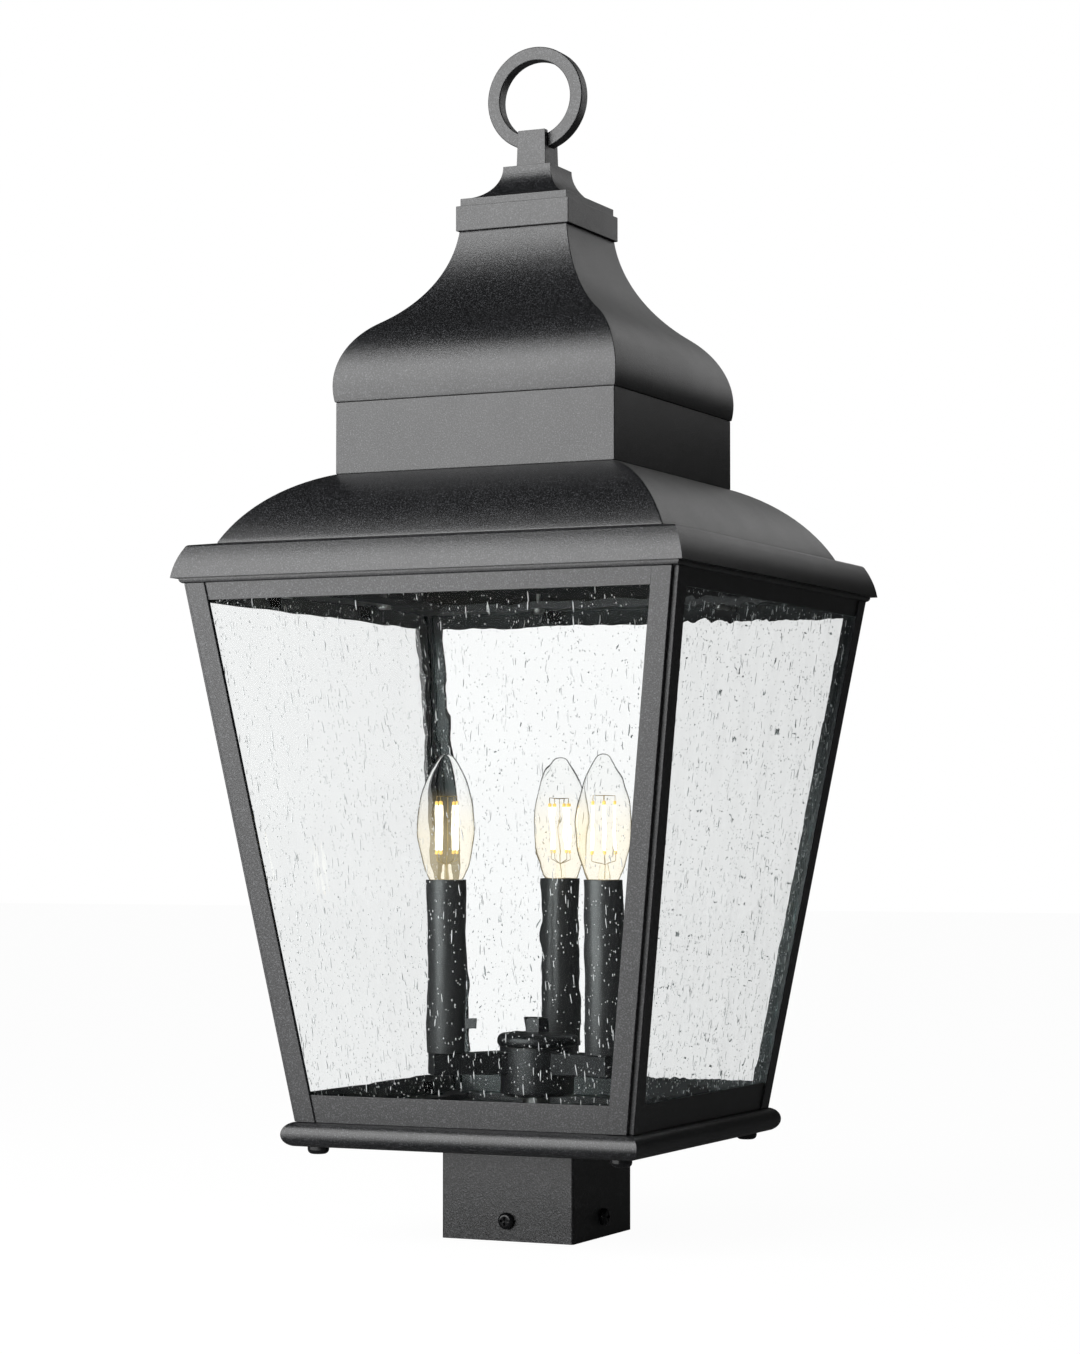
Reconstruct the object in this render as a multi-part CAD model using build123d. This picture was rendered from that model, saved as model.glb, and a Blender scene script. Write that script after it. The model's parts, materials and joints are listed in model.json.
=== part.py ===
from build123d import *
from math import cos, hypot, radians, sin, sqrt
import os

# Post top lantern, in millimetres. +Z is up, the front is -Y, and the origin is the centre of the
# fitter's bottom rim. The lantern is square in plan, so most pieces come from an outline that gives
# the distance of a face from the centre line at each height.

# Post fitter
post_size = 76.2            # the square post that the fitter takes
post_clearance = 0.3        # on each side of the post
fitter_wall = 2.0
fitter_drop = 53.75         # how far the fitter shows below the base
fitter_corner_radius = 1.4
fitter_flange_width = 15.0
fitter_flange_thickness = 2.0

# Small screws: two on each side of the fitter, and two on each side of the roof
small_screw_diameter = 4.0
small_head_diameter = 8.0
fitter_head_height = 1.6
fitter_screw_spacing = 60.0
small_nut_width = 7.0
small_nut_height = 3.2
small_screw_tail = 1.8      # past its nut
roof_head_height = 2.8
roof_screw_spacing = 120.0
roof_screw_tail = 5.0       # above the eave's flange

# Clamp screws, one through the middle of each face of the fitter
clamp_screw_height = 11.4
clamp_head_diameter = 9.5
clamp_head_height = 3.4
clamp_shank_diameter = 4.8
clamp_reach = 6.0           # how far the tip stands inside the fitter

# Screw heads and nuts
recess_span = 0.55          # cross recess, as a share of the head's diameter
recess_width = 0.13
recess_depth = 0.45         # as a share of the head's height
head_round = 0.225          # rim radius, as a share of the head's diameter
nut_bevel = 1.0

# Base: half-round frame and floor plate
base_overhang = 4.75        # past the foot of the cage
roll_diameter = 13.5
roll_wall = 2.0
tray_set_in = 10.0          # from the outside of the roll to the edge of the floor plate
ledge_width = 13.0          # the roll's ledge under the floor plate
tray_thickness = 2.0

# Cage
cage_foot_width = 204.7
cage_head_width = 295.7
cage_height = 297.0
post_leg = 14.5
post_notch = 2.9            # square step along the outer corner of each post
post_thickness = 2.6
post_corner = 4.9           # thicker behind the step
post_edge_radius = 0.5
rail_thickness = 1.5
bottom_rail_height = 15.2
top_rail_height = 9.4
foot_flange_width = 19.0
foot_flange_thickness = 4.0
lip_overhang = 1.15         # past the head of the cage
lip_thickness = 2.85
lip_radius = 2.3
roof_flange_width = 23.85   # from the head of the cage in to the opening under the roof

# Cage screws, up through the corners of the base
cage_screw_inset = 10.85    # from the outside of the cage
cage_screw_head_diameter = 12.0
cage_screw_head_height = 4.5
cage_shank_diameter = 6.0

# Glass and its clips
glass_thickness = 3.0
glass_gap = 0.2             # to the rails, posts, flange and clips
glass_corner_gap = 1.77     # between the edges of neighbouring panes
clip_width = 12.0
clip_height = 8.0
clip_foot = 6.0
clip_thickness = 0.8
clip_spacing = 110.0
side_clip_height = 6.3
side_clip_rise = 44.3       # from the floor to the middle of the side clip
side_clip_length = 18.1

# Roof
eave_overhang = 3.4         # past the lip
eave_height = 19.9
eave_rake = 5.8             # how far the eave's side leans in by its top edge
eave_side_radius = 46.0
eave_edge_radius = 2.4
eave_edge_turn = 22.0       # degrees off level where the edge's arc starts
eave_wall = 2.0
shoulder_rise = 1.4
dome_set_in = 18.4          # from the outside of the eave
dome_width_drop = 48.7      # how far the dome draws in on each side
dome_height = 41.0
dome_radius = 81.0
sheet = 1.6                 # sheet metal of the two roofs and the neck
upstand_height = 8.0
neck_height = 40.5
hood_height = 101.5
hood_top_width = 67.3
hood_top_lean = 7.1         # degrees off plumb at the top of the hood
belly_overhang = 1.55       # past the neck
belly_rise = 9.15           # from the hood's lip to its widest level
belly_radius = 45.2

# Collar and finial
collar_overhang = 1.55      # past the top of the hood
collar_height = 14.4
collar_wall = 3.5
plinth_set_in = 2.0         # from the outside of the collar
plinth_height = 4.4
finial_base_height = 24.7
finial_neck_width = 29.8
finial_hollow_radius = 20.2
block_foot_width = 18.3
block_head_width = 17.1
block_height = 21.5
ring_diameter = 59.8
ring_band = 7.7
ring_thickness = 8.5
ring_chamfer = 0.4
ring_sink = 10.7            # how deep the ring sits in the block
stud_diameter = 6.0
stud_depth = 9.0            # into the block
stud_tip_gap = 1.0
stud_washer_diameter = 18.0
stud_washer_thickness = 1.2
stud_nut_width = 10.0
stud_nut_height = 5.0
stud_tail = 3.8             # past its nut

# Lamp cluster
stem_diameter = 10.0
stem_bore = 6.5
stem_side_hole = 4.0        # lets the wires out inside the hub
stem_washer_diameter = 20.0
stem_washer_thickness = 1.5
stem_nut_width = 14.0
stem_nut_height = 4.5
stem_tail = 6.0             # past its nut
spacer_diameter = 16.0
spacer_height = 10.85
hub_diameter = 42.0
hub_height = 27.9
hub_wall = 2.0
hub_bottom_radius = 3.0
hub_cap_overhang = 2.4
hub_cap_height = 7.1
hub_cap_wall = 2.4
hub_cap_crown = 1.4
hub_nut_width = 13.0
hub_nut_height = 8.0
hub_nut_top = 2.0           # solid top above the stem
arm_width = 16.0
arm_height = 12.3
arm_wall = 1.5
arm_edge_radius = 0.8
arm_end = 9.0               # from the middle of a candle to the end of its arm
arm_drop = 2.7              # from the top of the hub to the top of the arms
arm_root = 1.0              # how far an arm stands inside the hub's wall
candle_circle_radius = 53.0
first_candle_angle = 100.0
candle_count = 3
sleeve_diameter = 22.2
sleeve_wall = 1.1
sleeve_height = 97.7
socket_gap = 0.5            # inside the sleeve
socket_drop = 9.0           # from the top of the sleeve
socket_height = 36.0
socket_stem_diameter = 10.0
socket_stem_bore = 6.0
socket_stem_grip = 6.0      # into the socket
socket_stem_tail = 2.0      # past its lock ring
lock_ring_diameter = 13.0
lock_ring_height = 2.5

# Bulbs
bulb_show = 70.5            # above the sleeve
bulb_diameter = 32.4
bulb_widest_rise = 30.0     # above the sleeve
bulb_tip_radius = 5.3
bulb_glass_wall = 0.9
bulb_neck_diameter = 10.0
bulb_neck_drop = 13.0       # below the top of the sleeve
cap_diameter = 11.9
cap_length = 21.0
cap_stand = 1.0             # above the socket
contact_height = 2.0
contact_diameter = 6.0
filament_circle_radius = 6.5
filament_diameter = 1.8
filament_length = 30.0
filament_rise = 14.0        # above the sleeve
wire_diameter = 1.0
wire_above = 2.0            # from the filaments to the upper cross
wire_below = 3.0            # from the filaments to the lower cross
mount_drop = 5.0            # from the filaments down to the top of the glass mount

# Fits
running_gap = 0.1           # radial, a screw, stem or stud in its hole
seat_gap = 0.2              # around a piece that drops into another
past = 1.0                  # how far a cut runs past a face

# Half widths that follow from the sizes above
fitter_inner = post_size / 2 + post_clearance
fitter_half = fitter_inner + fitter_wall
foot_half = cage_foot_width / 2
head_half = cage_head_width / 2
base_half = foot_half + base_overhang
roll_centre_half = base_half - roll_diameter / 2
tray_opening_half = base_half - tray_set_in
ledge_inner_half = tray_opening_half - ledge_width
tray_half = tray_opening_half - seat_gap
screw_square = foot_half - cage_screw_inset
rail_set_back = post_thickness - rail_thickness
lip_half = head_half + lip_overhang
eave_half = lip_half + eave_overhang
roof_opening_half = head_half - roof_flange_width
dome_half = eave_half - dome_set_in
neck_half = dome_half - dome_width_drop
belly_half = neck_half + belly_overhang
collar_half = hood_top_width / 2 + collar_overhang
plinth_half = collar_half - plinth_set_in
hub_cap_diameter = hub_diameter + 2 * hub_cap_overhang
socket_diameter = sleeve_diameter - 2 * (sleeve_wall + socket_gap)

# Levels that follow from the sizes above
roll_middle = fitter_drop + roll_diameter / 2
floor = fitter_drop + roll_diameter
ledge_top = floor - tray_thickness
fitter_flange_foot = ledge_top - fitter_flange_thickness
foot_flange_top = floor + foot_flange_thickness
bottom_rail_head = floor + bottom_rail_height
cage_head = floor + cage_height
top_rail_foot = cage_head - top_rail_height
eave_foot = cage_head + lip_thickness
dome_foot = eave_foot + eave_height
neck_foot = dome_foot + dome_height
hood_foot = neck_foot + neck_height
hood_head = hood_foot + hood_height
plinth_foot = hood_head + collar_height
block_foot = plinth_foot + finial_base_height
block_head = block_foot + block_height
ring_centre = block_head - ring_sink + ring_diameter / 2
hub_foot = floor + spacer_height
hub_head = hub_foot + hub_height
cap_crown = hub_head + hub_cap_height + hub_cap_crown
hub_nut_head = cap_crown + hub_nut_height
arm_top = hub_head - arm_drop
arm_middle = arm_top - arm_height / 2
sleeve_head = arm_top + sleeve_height
socket_head = sleeve_head - socket_drop
socket_foot = socket_head - socket_height
cap_rim = socket_head + cap_stand
cap_foot = cap_rim - cap_length
bulb_foot = sleeve_head - bulb_neck_drop

lean = (head_half - foot_half) / cage_height
slope = sqrt(1 + lean**2)
candle_angles = [first_candle_angle + n * 360 / candle_count for n in range(candle_count)]
sides = {"front": 0, "right": 90, "back": 180, "left": 270}
corners = {"front_right": 0, "back_right": 90, "back_left": 180, "front_left": 270}


def cage_half(z, set_back=0.0):
    """Half width of the leaning cage at a height, less a set back."""
    return foot_half + lean * (z - floor) - set_back


def bow(start, end, radius):
    """Arc that bulges to the right of the way from start to end, or to the left if radius < 0."""
    (x0, y0), (x1, y1) = start, end
    chord = hypot(x1 - x0, y1 - y0)
    sagitta = abs(radius) - sqrt(radius**2 - chord**2 / 4)
    shift = sagitta / chord * (1 if radius > 0 else -1)
    middle = ((x0 + x1) / 2 + (y1 - y0) * shift, (y0 + y1) / 2 - (x1 - x0) * shift)
    return ThreePointArc(start, middle, end)


def half_face(edges):
    """Face between the centre line and an outline of (half width, height)."""
    low, high = edges[0] @ 0, edges[-1] @ 1
    closing = [Line((0, low.Y), (low.X, low.Y)), Line((0, high.Y), (0, low.Y))]
    if high.X > 0.001:
        closing.append(Line((high.X, high.Y), (0, high.Y)))
    return make_face([*edges, *closing])


def four_sided(*edges):
    """Solid of square plan whose four faces follow one outline, with mitred corners."""
    half = half_face(edges)
    reach = half.bounding_box().max.X + past
    slab = extrude(Plane.XZ * (half + mirror(half, Plane.YZ)), amount=reach, both=True)
    return slab & (Rot(0, 0, 90) * slab)


def square_block(half, low, high):
    """Plain block of square plan between two heights."""
    return Pos(0, 0, (low + high) / 2) * Box(2 * half, 2 * half, high - low)


def leaning_block(set_back, low, high):
    """Block with the cage's leaning faces, set back from them, between two heights."""
    return four_sided(Line((cage_half(low, set_back), low), (cage_half(high, set_back), high)))


def turned(*edges):
    """Solid of revolution about the centre line."""
    return revolve(Plane.XZ * half_face(edges), axis=Axis.Z)


def rod(diameter, low, high):
    return Pos(0, 0, (low + high) / 2) * Cylinder(diameter / 2, high - low)


def loose(diameter):
    """Diameter of the hole for a screw, stem or stud."""
    return diameter + 2 * running_gap


def nut(width, high, height):
    """Hexagon nut under a height, with its lower corners turned off and no bore yet."""
    low, corner = high - height, width / sqrt(3)
    prism = extrude(Pos(0, 0, low) * RegularPolygon(width / 2, 6, major_radius=False), amount=height)
    bevel = Line((corner - nut_bevel, low), (corner, low + nut_bevel))
    return prism & turned(bevel, Line((corner, low + nut_bevel), (corner, high)))


def pan_head(diameter, height):
    """Screw head that stands on z = 0, with a rounded rim and a cross recess."""
    radius = diameter / 2
    rim = min(head_round * diameter, 0.8 * height)
    side = Line((radius, 0), (radius, height - rim))
    head = turned(side, bow((radius, height - rim), (radius - rim, height), rim))
    span, width, depth = recess_span * diameter, recess_width * diameter, recess_depth * height
    slot = Pos(0, 0, height) * Box(span, width, 2 * depth)
    return head - slot - Rot(0, 0, 90) * slot


def on_each_side(piece):
    """The piece on all four sides, as a list."""
    return [Rot(0, 0, turn) * piece for turn in sides.values()]


def in_pairs(spacing, away, piece):
    """The piece twice on each of the four sides, at a spacing along it and a distance from the centre."""
    places = [Pos(offset, -away, 0) for offset in (-spacing / 2, spacing / 2)]
    return [side for place in places for side in on_each_side(place * piece)]


def less(piece, cutters):
    for cutter in cutters:
        piece = piece - cutter
    return piece


# Base

def post_fitter():
    """Square socket for the post, with a flange under the floor plate."""
    section = RectangleRounded(2 * fitter_half, 2 * fitter_half, fitter_corner_radius)
    outer = extrude(section, amount=ledge_top)
    flange = square_block(fitter_half + fitter_flange_width, fitter_flange_foot, ledge_top)
    fitter = outer + flange - square_block(fitter_inner, -past, ledge_top + past)
    bore = Pos(fitter_half, 0, clamp_screw_height) * Rot(0, 90, 0) * Cylinder(
        loose(clamp_shank_diameter) / 2, 2 * (fitter_wall + past))
    return less(fitter, on_each_side(bore) + fitter_screw_holes())


def at_fitter_screws(piece):
    """The piece at each screw through the fitter's flange and the floor plate."""
    return in_pairs(fitter_screw_spacing, fitter_half + fitter_flange_width / 2, piece)


def fitter_screw_holes():
    return at_fitter_screws(rod(loose(small_screw_diameter), fitter_flange_foot - past, floor + past))


def fitter_screws():
    """Low heads on the floor plate, with nuts under the fitter's flange."""
    nut_foot = fitter_flange_foot - small_nut_height
    screw = rod(small_head_diameter, floor, floor + fitter_head_height)
    screw += rod(small_screw_diameter, nut_foot - small_screw_tail, floor)
    screw += nut(small_nut_width, fitter_flange_foot, small_nut_height)
    return Compound(children=at_fitter_screws(screw))


def base_roll():
    """Hollow half-round frame with a ledge that carries the floor plate."""
    radius = roll_diameter / 2
    inner = radius - roll_wall
    nose = (roll_centre_half + radius, roll_middle)
    body = four_sided(bow((roll_centre_half, fitter_drop), nose, radius),
                      bow(nose, (roll_centre_half, floor), radius))
    cavity_top = ledge_top - roll_wall
    reach = roll_centre_half + sqrt(inner**2 - (cavity_top - roll_middle)**2)
    inner_nose = (roll_centre_half + inner, roll_middle)
    cavity = four_sided(bow((roll_centre_half, fitter_drop + roll_wall), inner_nose, inner),
                        bow(inner_nose, (reach, cavity_top), inner))
    opening = square_block(ledge_inner_half, fitter_drop - past, floor + past)
    seat = square_block(tray_opening_half, ledge_top, floor + past)
    return less(body - cavity - opening - seat, cage_screw_holes())


def base_tray():
    """Floor plate of the lantern."""
    plate = square_block(tray_half, ledge_top, floor) - stem_hole(ledge_top, floor)
    return less(plate, cage_screw_holes() + fitter_screw_holes())


def cage_screw_holes():
    hole = rod(loose(cage_shank_diameter), fitter_drop - past, foot_flange_top + past)
    return on_each_side(Pos(screw_square, -screw_square, 0) * hole)


def cage_screws():
    """Pan heads against the underside of the roll, shanks into the threaded flange of the cage."""
    head = Rot(180, 0, 0) * pan_head(cage_screw_head_diameter, cage_screw_head_height)
    shank = rod(cage_shank_diameter, fitter_drop, foot_flange_top - seat_gap)
    screw = Pos(screw_square, -screw_square, 0) * (Pos(0, 0, fitter_drop) * head + shank)
    return {f"cage_screw_{name}": Rot(0, 0, turn) * screw for name, turn in corners.items()}


def clamp_screws():
    """Pan heads on the faces of the fitter, with tips that reach the post."""
    head = Pos(0, 0, fitter_half) * pan_head(clamp_head_diameter, clamp_head_height)
    shank = rod(clamp_shank_diameter, fitter_inner - clamp_reach, fitter_half)
    screw = Pos(0, 0, clamp_screw_height) * Rot(90, 0, 0) * (head + shank)
    return {f"clamp_screw_{name}": Rot(0, 0, turn) * screw for name, turn in sides.items()}


# Cage

def along_post(section, start):
    """A section swept up the leaning line of the front right post, from a height to the head of the cage."""
    way = Vector(lean, -lean, 1)
    shift = lean * (start - floor)
    return extrude(Pos(shift, -shift, start) * section, amount=(cage_head - start) * way.length,
                   dir=way.normalized())


def post_back():
    """Inner outline of the front right post, thicker in the corner than along its legs."""
    leg, inner, corner = (foot_half - depth for depth in (post_leg, post_thickness, post_corner))
    return (inner, -leg), (inner, -corner), (corner, -corner), (corner, -inner), (leg, -inner)


def corner_posts():
    """Leaning angles with a stepped outer corner and rounded outer edges."""
    w = foot_half
    leg, step = w - post_leg, w - post_notch
    section = make_face(Polyline((leg, -w), (step, -w), (step, -step), (w, -step), (w, -leg),
                                 *post_back(), close=True))
    outer = [corner for corner in section.vertices() if max(corner.X, -corner.Y) > w - 0.01]
    post = along_post(fillet(outer, post_edge_radius), floor)
    return {f"corner_post_{name}": Rot(0, 0, turn) * post for name, turn in corners.items()}


def post_cutters():
    """Plain angles that clear the posts, to cut the frames between them."""
    leg, outside = foot_half - post_leg, foot_half + past
    section = make_face(Polyline((leg, -outside), (outside, -outside), (outside, -leg),
                                 *post_back(), close=True))
    return on_each_side(along_post(section, floor - past))


def cage_bottom_frame():
    """Four bottom rails on a flange that takes the cage screws."""
    frame = leaning_block(rail_set_back, floor, bottom_rail_head)
    frame -= leaning_block(post_thickness, foot_flange_top, bottom_rail_head + past)
    opening = cage_half(floor, rail_set_back) - foot_flange_width
    frame -= square_block(opening, floor - past, foot_flange_top + past)
    return less(frame, post_cutters() + cage_screw_holes())


def cage_top_frame():
    """Four top rails under a plate whose rounded lip shows below the eave."""
    rails = leaning_block(rail_set_back, top_rail_foot, cage_head)
    rails = less(rails - leaning_block(post_thickness, top_rail_foot - past, cage_head), post_cutters())
    round_end = (lip_half, cage_head + lip_radius)
    plate = four_sided(bow((lip_half - lip_radius, cage_head), round_end, lip_radius),
                       Line(round_end, (lip_half, eave_foot)))
    plate -= square_block(roof_opening_half, cage_head - past, eave_foot + past)
    return less(rails + plate, roof_screw_holes())


def pane_plane(z, set_back):
    """Plane on the front of the cage, at a height and set back from its leaning face."""
    return Plane(origin=(0, -cage_half(z, set_back), z), x_dir=(1, 0, 0), z_dir=(0, -1, -lean))


def glass_panes():
    """Trapezoid panes behind the rails and the legs of the posts."""
    set_back = post_thickness + glass_gap
    margin = set_back + glass_thickness * slope + glass_corner_gap
    low = foot_flange_top + glass_gap
    high = cage_head - glass_gap - glass_thickness * lean
    foot, head, rise = cage_half(low, margin), cage_half(high, margin), (high - low) * slope
    face = make_face(Polyline((-foot, 0), (foot, 0), (head, rise), (-head, rise), close=True))
    pane = extrude(pane_plane(low, set_back) * face, amount=-glass_thickness)
    return {f"glass_{name}": Rot(0, 0, turn) * pane for name, turn in sides.items()}


def clip_set_back():
    """From the leaning face of the cage in to the clips."""
    return post_thickness + 2 * glass_gap + glass_thickness * slope


def bent_clip(level, side):
    """Clip with a foot on the frame at a height and an upright leg up (1) or down (-1) the pane."""
    set_back = clip_set_back()
    upright = pane_plane(level, set_back) * Pos(0, side * clip_height / 2, -clip_thickness / 2) * Box(
        clip_width, clip_height, clip_thickness)
    foot = Pos(0, clip_foot / 2 - cage_half(level, set_back), level + side * clip_thickness / 2) * Box(
        clip_width, clip_foot, clip_thickness)
    return (upright + foot) & square_block(head_half, foot_flange_top, cage_head)


def side_clip():
    """Flat clip on the back pane, against the back left post."""
    middle = floor + side_clip_rise
    centre = cage_half(middle, post_thickness + side_clip_length / 2)
    blank = pane_plane(middle, clip_set_back()) * Pos(centre, 0, -clip_thickness / 2) * Box(
        side_clip_length, side_clip_height, clip_thickness)
    return Rot(0, 0, sides["back"]) * (blank & leaning_block(post_thickness, floor, cage_head))


def glass_clips():
    clips = [bent_clip(foot_flange_top, 1), bent_clip(cage_head, -1)]
    bent = [copy for clip in clips for copy in in_pairs(clip_spacing, 0, clip)]
    return Compound(children=[*bent, side_clip()])


# Roof

def eave_outline(wall):
    """Outer outline of the eave, or its inner one when wall is more than zero."""
    turn = radians(eave_edge_turn)
    centre = (eave_half - eave_rake - wall - eave_edge_radius * cos(turn),
              dome_foot - shoulder_rise - wall - eave_edge_radius)
    side_head = (eave_half - eave_rake - wall, centre[1] + eave_edge_radius * sin(turn))
    edge_end = (centre[0], centre[1] + eave_edge_radius)
    return (bow((eave_half - wall, eave_foot + wall), side_head, eave_side_radius),
            bow(side_head, edge_end, eave_edge_radius),
            Line(edge_end, (dome_half, dome_foot - wall)))


def eave_moulding():
    """Rounded eave with a C section: a flange on the cage below and one under the dome above."""
    body = four_sided(*eave_outline(0)) - four_sided(*eave_outline(eave_wall))
    body -= square_block(roof_opening_half, eave_foot - past, dome_foot + past)
    return less(body, roof_screw_holes())


def at_roof_screws(piece):
    """The piece at each roof screw, midway between the opening and the clips."""
    clip_end = cage_half(cage_head, clip_set_back() + clip_foot)
    return in_pairs(roof_screw_spacing, (roof_opening_half + clip_end) / 2, piece)


def roof_screw_holes():
    hole = rod(loose(small_screw_diameter), cage_head - past, eave_foot + eave_wall + past)
    return at_roof_screws(hole)


def roof_screws():
    """Pan heads under the top frame, driven up into the eave."""
    head = Pos(0, 0, cage_head) * Rot(180, 0, 0) * pan_head(small_head_diameter, roof_head_height)
    shank = rod(small_screw_diameter, cage_head, eave_foot + eave_wall + roof_screw_tail)
    return Compound(children=at_roof_screws(head + shank))


def lower_roof():
    """Square dome of sheet metal, with a foot flange and an upstand into the neck."""
    outer = four_sided(bow((dome_half, dome_foot), (neck_half, neck_foot), dome_radius))
    inner = four_sided(bow((dome_half - sheet, dome_foot - sheet), (neck_half - sheet, neck_foot - sheet),
                           dome_radius))
    upstand = neck_half - sheet - seat_gap
    roof = outer - inner + square_block(upstand, neck_foot - sheet, neck_foot + upstand_height)
    roof -= square_block(upstand - sheet, neck_foot - 2 * sheet, neck_foot + upstand_height + past)
    flange = square_block(dome_half - sheet, dome_foot, dome_foot + sheet)
    flange -= square_block(roof_opening_half, dome_foot - past, dome_foot + sheet + past)
    return roof + (flange & outer)


def neck_box():
    """Straight square tube with a ledge and a spigot that centres the hood."""
    spigot = neck_half - sheet - seat_gap
    spigot_head = hood_foot + belly_rise
    ledge_foot = hood_foot - sheet
    wall = square_block(neck_half, neck_foot, hood_foot)
    wall -= square_block(neck_half - sheet, neck_foot - past, ledge_foot)
    wall += square_block(spigot, ledge_foot, spigot_head)
    return wall - square_block(spigot - sheet, ledge_foot - past, spigot_head + past)


def hood_outline(wall, low, high):
    """Ogee outline between two heights, set in by a wall: a belly arc and a flare arc that meet smoothly."""
    belly = (belly_half - belly_radius, hood_foot + belly_rise)
    top = (hood_top_width / 2, hood_head)
    across, up = cos(radians(hood_top_lean)), sin(radians(hood_top_lean))
    dx, dz = top[0] - belly[0], top[1] - belly[1]
    flare_radius = (dx**2 + dz**2 - belly_radius**2) / 2 / (belly_radius - dx * across - dz * up)
    flare = (top[0] + flare_radius * across, top[1] + flare_radius * up)
    share = (belly_radius - wall) / (belly_radius + flare_radius)
    meet = (belly[0] + share * (flare[0] - belly[0]), belly[1] + share * (flare[1] - belly[1]))
    low_half = belly[0] + sqrt((belly_radius - wall)**2 - (belly[1] - low)**2)
    high_half = flare[0] - sqrt((flare_radius + wall)**2 - (flare[1] - high)**2)
    return (bow((low_half, low), meet, belly_radius - wall),
            bow(meet, (high_half, high), -flare_radius - wall))


def upper_hood():
    """Square ogee hood with a closed top that the finial bolts through."""
    shell = four_sided(*hood_outline(0, hood_foot, hood_head))
    shell -= four_sided(*hood_outline(sheet, hood_foot, hood_head - sheet))
    return shell - stud_hole()


def cap_collar():
    """Square cap over the top of the hood."""
    collar = square_block(collar_half, hood_head, plinth_foot)
    collar -= square_block(collar_half - collar_wall, hood_head - past, plinth_foot - collar_wall)
    return collar - stud_hole()


def finial_base():
    """Thin plinth under four hollow-curved faces."""
    plinth_head = plinth_foot + plinth_height
    body = four_sided(Line((plinth_half, plinth_foot), (plinth_half, plinth_head)),
                      bow((plinth_half, plinth_head), (finial_neck_width / 2, block_foot),
                          -finial_hollow_radius))
    return body - stud_hole()


def stud_hole():
    return rod(loose(stud_diameter), hood_head - sheet - past, block_foot + stud_depth + stud_tip_gap)


def finial_stud():
    """Threaded rod that holds the finial, the collar and the hood together."""
    nut_foot = hood_head - sheet - stud_washer_thickness - stud_nut_height
    return rod(stud_diameter, nut_foot - stud_tail, block_foot + stud_depth)


def finial_nut():
    """Washer and nut under the top of the hood."""
    washer_foot = hood_head - sheet - stud_washer_thickness
    washer = rod(stud_washer_diameter, washer_foot, hood_head - sheet)
    hole = rod(loose(stud_diameter), washer_foot - stud_nut_height - past, hood_head)
    return Compound(children=[washer - hole, nut(stud_nut_width, washer_foot, stud_nut_height) - hole])


def finial_block():
    """Square block, narrower at the top, with a slot that the ring sits in."""
    block = four_sided(Line((block_foot_width / 2, block_foot), (block_head_width / 2, block_head)))
    slot = Pos(0, 0, ring_centre) * Rot(90, 0, 0) * Cylinder(
        ring_diameter / 2 + running_gap, ring_thickness + 2 * running_gap)
    return block - slot - stud_hole()


def finial_ring():
    """Flat-sided ring that faces the front."""
    disc = Cylinder(ring_diameter / 2, ring_thickness)
    disc -= Cylinder(ring_diameter / 2 - ring_band, ring_thickness + 2 * past)
    disc = chamfer(disc.edges().filter_by(GeomType.CIRCLE), ring_chamfer)
    return Pos(0, 0, ring_centre) * Rot(90, 0, 0) * disc


# Lamp cluster

def stem_hole(low, high):
    """Hole for the stem through what lies between two heights."""
    return rod(loose(stem_diameter), low - past, high + past)


def hub_stem():
    """Hollow stem from under the floor plate up into the hub's nut, which also lets the wires in."""
    nut_foot = ledge_top - stem_washer_thickness - stem_nut_height
    low, high = nut_foot - stem_tail, hub_nut_head - hub_nut_top
    side_hole = Pos(stem_diameter / 2, 0, hub_foot + hub_height / 2) * Rot(0, 90, 0) * Cylinder(
        stem_side_hole / 2, stem_diameter)
    return rod(stem_diameter, low, high) - rod(stem_bore, low - past, high + past) - side_hole


def stem_spacer():
    return rod(spacer_diameter, floor, hub_foot) - stem_hole(floor, hub_foot)


def stem_locknut():
    """Washer and nut under the floor plate."""
    washer_foot = ledge_top - stem_washer_thickness
    washer = rod(stem_washer_diameter, washer_foot, ledge_top)
    hole = stem_hole(washer_foot - stem_nut_height, ledge_top)
    return Compound(children=[washer - hole, nut(stem_nut_width, washer_foot, stem_nut_height) - hole])


def hub_body():
    """Round cup, open at the top, with a window for the root of each arm."""
    radius, bend = hub_diameter / 2, hub_bottom_radius
    body = turned(bow((radius - bend, hub_foot), (radius, hub_foot + bend), bend),
                  Line((radius, hub_foot + bend), (radius, hub_head)))
    body -= rod(hub_diameter - 2 * hub_wall, hub_foot + hub_wall, hub_head + past)
    body -= stem_hole(hub_foot, hub_foot + hub_wall)
    window = Pos(radius, 0, arm_middle) * Box(2 * hub_wall + 2 * past, loose(arm_width), loose(arm_height))
    return less(body, [Rot(0, 0, turn) * window for turn in candle_angles])


def hub_cap():
    """Domed cap with a rounded rim that overhangs the hub."""
    radius, bead = hub_cap_diameter / 2, hub_cap_height / 2
    rim_head = hub_head + hub_cap_height
    cap = turned(bow((radius - bead, hub_head), (radius, hub_head + bead), bead),
                 bow((radius, hub_head + bead), (radius - bead, rim_head), bead),
                 Line((radius - bead, rim_head), (hub_nut_width / 2, cap_crown)))
    cap -= rod(hub_diameter - 2 * hub_wall, hub_head - past, rim_head - hub_cap_wall)
    return cap - stem_hole(hub_head, cap_crown)


def hub_nut():
    """Closed hexagon nut on the end of the stem, its turned-off corners up."""
    upside_down = nut(hub_nut_width, hub_nut_head, hub_nut_height)
    blank = Pos(0, 0, cap_crown + hub_nut_head) * Rot(180, 0, 0) * upside_down
    return blank - rod(loose(stem_diameter), cap_crown - past, hub_nut_head - hub_nut_top + running_gap)


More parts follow.
